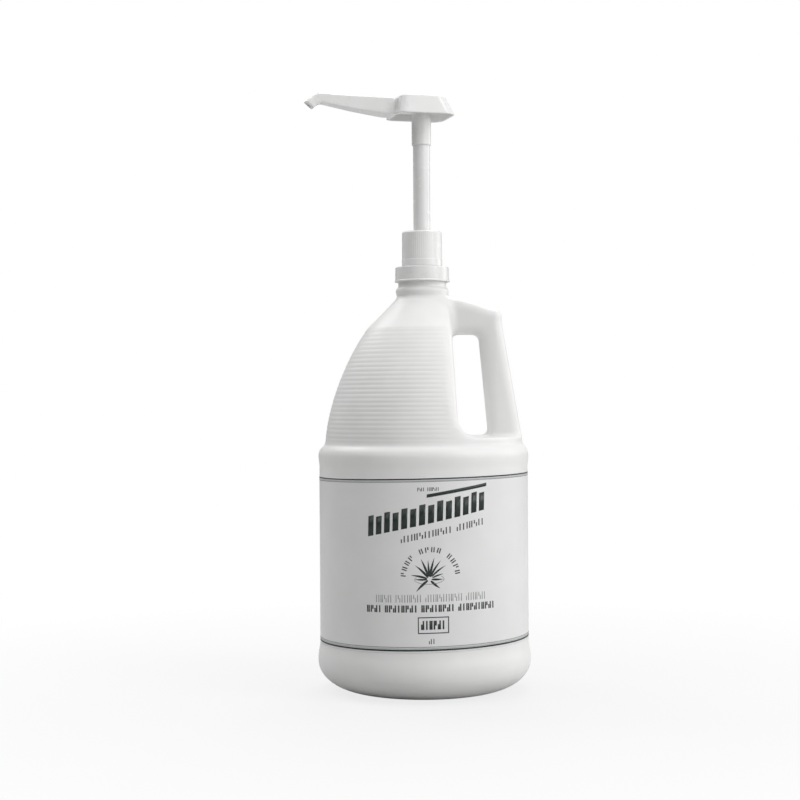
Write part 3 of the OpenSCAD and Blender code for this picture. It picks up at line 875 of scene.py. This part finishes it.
def head_mesh():
    """Thumb pad, boss and spout in one piece. u runs along the spout and v across it."""
    u = grid_axis((-23.5, 73.5, 0.5), (73.5, 91.0, 0.25))
    v = grid_axis((-22.5, -4.5, 0.5), (-4.5, 4.5, 0.25), (4.5, 22.5, 0.5))
    z = grid_axis((398.5, 419.5, 0.9), (419.5, 424.0, 0.45), (424.0, 437.5, 0.3))
    uu, vv, zz = np.meshgrid(u, v, z, indexing="ij")
    pad = np.maximum(pad_field(uu, vv, zz, 0), HEAD_LOW - zz)
    # Spout: level top, rising belly, tapering plan, tip bent down
    fu, fz = np.meshgrid(u, z, indexing="ij")
    side = outline_distance(fu, fz, [
        (4, 422.4), (4, 434.2), (20, 434.0), (26, 434.1), (40, 434.7), (56, 435.1), (68, 435.6),
        (77.0, 436.3), (79.2, 436.1), (81.0, 435.1), (88.2, 429.8), (88.3, 429.3), (82.8, 424.8),
        (82.1, 425.0), (79.9, 427.3), (77.0, 428.7), (74.6, 428.7), (72.6, 428.4), (53.5, 425.1),
        (36.0, 422.9), (28.5, 422.1),
    ])[:, None, :]
    half = np.interp(
        u,
        [0, 14, 21, 24, 30, 38, 45, 52, 60, 70, 76, 82, 90],
        [11.4, 11.3, 10.9, 10.3, 9.2, 8.0, 7.1, 6.4, 5.7, 4.9, 4.3, 3.8, 3.6],
    )
    half = half[:, None, None] + 0.03  # keeps the flanks off the grid's nodes, which would crease them
    spout = common(side + 0 * vv, np.abs(vv) - half, 1.2 + 0.8 * ease(70, 80, uu))
    form = join(pad, spout, 1.8)
    # The soft valley where the spout leaves the pad
    form = form + 0.35 * np.exp(-(((uu - 22.8) / 1.2) ** 2)) * ease(422.5, 426, zz)
    # Hollow underside with four webs round the boss
    hollow = np.maximum(pad_field(uu, vv, zz, HEAD_WALL), HEAD_LOW - 5 - zz)
    form = np.maximum(form, -hollow)
    inside = pad_field(uu, vv, zz, HEAD_WALL - 0.4)
    webs = np.minimum(np.abs(uu) - WEB_HALF, np.abs(vv) - WEB_HALF)
    form = join(form, overlap(webs, inside, HEAD_LOW + 2.6 - zz), 0.8)
    around = np.hypot(uu, vv)
    roof = zz - HEAD_TOP + 1.1
    boss = overlap(around - BOSS_R, BOSS_LOW - zz, roof)
    form = join(form, common(boss, BOSS_LOW - zz, 0.8), 0.8)
    # The spout's root, which carries the channel from the boss through the hollow
    root = overlap(np.abs(vv) - 4.3, 424.45 - zz, 4 - uu, uu - 20.6, roof)
    form = join(form, root, 0.8)
    # Socket for the stem, the way up out of it, the channel to the bend, and the open tip
    form = np.maximum(form, -np.maximum(around - SOCKET_R, zz - SOCKET_TOP))
    form = np.maximum(form, -np.maximum(around - RISER_R, zz - CHANNEL_Z))
    above = zz - CHANNEL_Z - 4.0 * ease(30, 76, uu)
    channel = overlap(np.hypot(vv, above) - CHANNEL_R, -uu, uu - 78)
    drop = math.radians(TIP_DROP)
    along = (uu - TIP_X) * math.cos(drop) - (zz - TIP_Z) * math.sin(drop)
    across = (uu - TIP_X) * math.sin(drop) + (zz - TIP_Z) * math.cos(drop)
    tip = np.maximum(np.hypot(vv, across) - TIP_R, -along)
    form = np.maximum(form, -join(channel, tip, 1.0))
    verts, quads, _ = surface(form, (u, v, z))
    a = math.radians(180 + SPOUT_TURN)
    # u points along the spout; v towards the front, so that u, v, Z is right-handed after the turn
    x = verts[:, 0] * math.cos(a) - verts[:, 1] * math.sin(a)
    y = verts[:, 0] * math.sin(a) + verts[:, 1] * math.cos(a)
    return np.stack([x, y, verts[:, 2]], 1), quads.tolist()


head = make_piece("pump_head_spout", *head_mesh(), PUMP_WHITE)
polish = head.modifiers.new("polish", "SMOOTH")
polish.factor, polish.iterations = 0.5, 3
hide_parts("pump_head")
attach(head, "head")


# ---------------------------------------------------------------- return spring

SPRING_LOW, SPRING_TOP, SPRING_R, SPRING_WIRE, SPRING_TURNS = 201.6, 285.7, 9.6, 1.6, 10


def spring_mesh():
    """Round wire on a helix, with its first and last turns closed up."""
    steps, sides = 40, 12
    turn = np.linspace(0, SPRING_TURNS, SPRING_TURNS * steps + 1)
    wire = SPRING_WIRE / 2
    heights = [SPRING_LOW + wire, SPRING_LOW + 3 * wire, SPRING_TOP - 3 * wire, SPRING_TOP - wire]
    middle = np.interp(turn, [0, 1, SPRING_TURNS - 1, SPRING_TURNS], heights)
    ring = np.linspace(0, 2 * math.pi, sides, endpoint=False)
    a, b = np.meshgrid(2 * math.pi * turn, ring, indexing="ij")
    r = SPRING_R + wire * np.cos(b)
    verts = np.stack([r * np.cos(a), r * np.sin(a), middle[:, None] + wire * np.sin(b)], -1).reshape(-1, 3)
    last = (len(turn) - 1) * sides
    faces = []
    for i in range(0, last, sides):
        for k in range(sides):
            n = (k + 1) % sides
            faces.append([i + k, i + sides + k, i + sides + n, i + n])
    faces += [list(range(sides)), [last + k for k in reversed(range(sides))]]
    return verts, faces


spring = make_piece("return_spring", *spring_mesh(), SPRING_STEEL)
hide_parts("spring")
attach(spring, "pump")
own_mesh(spring)


# ---------------------------------------------------------------- finishes of the CAD nodes that stay

for node, material in {
    "stem": STEM_WHITE,
    "neck_gasket": SOFT_SEAL,
    "stem_wiper": SOFT_SEAL,
    "piston_cup": SOFT_SEAL,
    "pump_housing": PUMP_WHITE,
    "inlet_cage": PUMP_WHITE,
    "piston": PUMP_WHITE,
    "dip_tube": CLEAR_WHITE,
    "inlet_ball": STEEL,
    "outlet_ball": STEEL,
}.items():
    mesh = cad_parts[node].data
    mesh.materials.clear()
    mesh.materials.append(material)


# ---------------------------------------------------------------- floor, light and camera

FLOOR_GREY, AMBIENT, LIGHT_AIM = 0.5, 0.145, (0, 0, 0.2)
CAMERA_PLACE, CAMERA_ROLL, LENS = (-0.017, -1.232, 0.213), math.radians(-0.37), 74.925


def stage_floor():
    """A pale floor: the camera sees it nearly white with a faint contact shadow, other rays plain grey."""
    bpy.ops.mesh.primitive_circle_add(vertices=96, radius=14, fill_type="NGON", location=(0, 0, 0))
    floor = bpy.context.object
    floor.name = "stage_floor"
    m = Nodes("floor_white")
    m.shader.inputs["Base Color"].default_value = (FLOOR_GREY, FLOOR_GREY, FLOOR_GREY, 1)
    m.shader.inputs["Roughness"].default_value = 0.9
    m.shader.inputs["Specular IOR Level"].default_value = 0.0
    white = m.add("ShaderNodeEmission", Strength=1.0)
    away = m.add("ShaderNodeVectorMath", operation="LENGTH")
    source, out = m.place()
    m.link(source, out, away, 0)
    fade = m.spread(away, "Value", 0.80, 1.0, 0.12, 0.55)
    seen = m.add("ShaderNodeMixShader")
    m.link(fade, "Result", seen, "Fac")
    m.link(m.shader, "BSDF", seen, 1)
    m.link(white, "Emission", seen, 2)
    path = m.add("ShaderNodeLightPath")
    both = m.add("ShaderNodeMixShader")
    m.link(path, "Is Camera Ray", both, "Fac")
    m.link(m.shader, "BSDF", both, 1)
    m.link(seen, "Shader", both, 2)
    m.link(both, "Shader", m.tree.nodes["Material Output"], "Surface")
    floor.data.materials.append(m.material)


def area_light(name, place, aim, size, power):
    """A rectangular soft light at a place, turned to face a point."""
    lamp = bpy.data.lights.new(name, "AREA")
    lamp.shape = "RECTANGLE"
    lamp.size, lamp.size_y = size
    lamp.energy = power
    holder = bpy.data.objects.new(name, lamp)
    bpy.context.scene.collection.objects.link(holder)
    holder.location = place
    holder.rotation_euler = (Vector(aim) - Vector(place)).to_track_quat("-Z", "Y").to_euler()


def studio_world():
    """A dim even ambient light, and a white backdrop that only the camera sees."""
    world = bpy.data.worlds.new("studio")
    bpy.context.scene.world = world
    world.use_nodes = True
    nodes, links = world.node_tree.nodes, world.node_tree.links
    sky, seen = nodes["Background"], nodes.new("ShaderNodeBackground")
    for node, strength in ((sky, AMBIENT), (seen, 1.0)):
        node.inputs["Color"].default_value = (1, 1, 1, 1)
        node.inputs["Strength"].default_value = strength
    path = nodes.new("ShaderNodeLightPath")
    blend = nodes.new("ShaderNodeMixShader")
    links.new(path.outputs["Is Camera Ray"], blend.inputs["Fac"])
    links.new(sky.outputs["Background"], blend.inputs[1])
    links.new(seen.outputs["Background"], blend.inputs[2])
    links.new(blend.outputs["Shader"], nodes["World Output"].inputs["Surface"])


stage_floor()
studio_world()
for lamp, place, size, power in (
    ("key_right", (2.34, -1.35, 0.9), (1.0, 1.4), 15.7),
    ("key_front", (1.6, -2.2, 0.9), (1.0, 1.4), 9.9),
    ("right_back", (2.5, 0.95, 0.9), (1.0, 1.4), 15.7),
    ("key_high", (1.9, -1.1, 2.0), (1.2, 1.2), 24),
    ("top_soft", (0, 0, 2.6), (1.6, 1.6), 21),
    ("front_high", (-0.2, -1.6, 2.1), (1.2, 1.2), 5.4),
    ("left_high", (-1.7, -0.6, 2.0), (1.2, 1.2), 11),
    ("left_back_high", (-1.4, 1.2, 2.0), (1.2, 1.2), 20.5),
    ("back_high", (0.3, 1.7, 2.1), (1.2, 1.2), 30),
    ("rim_left", (-2.2, 1.5, 0.9), (0.8, 1.4), 2),
):
    area_light(lamp, place, LIGHT_AIM, size, power)

camera_data = bpy.data.cameras.new("photo_camera")
camera_data.sensor_width = 36.0
camera_data.lens = LENS
camera_data.clip_start, camera_data.clip_end = 0.05, 60.0
camera = bpy.data.objects.new("photo_camera", camera_data)
bpy.context.scene.collection.objects.link(camera)
level = Matrix.Translation(CAMERA_PLACE) @ Matrix.Rotation(math.pi / 2, 4, "X")
camera.matrix_world = level @ Matrix.Rotation(CAMERA_ROLL, 4, "Z")
bpy.context.scene.camera = camera
bpy.context.scene.view_settings.view_transform = "Standard"
bpy.context.scene.view_settings.look = "None"
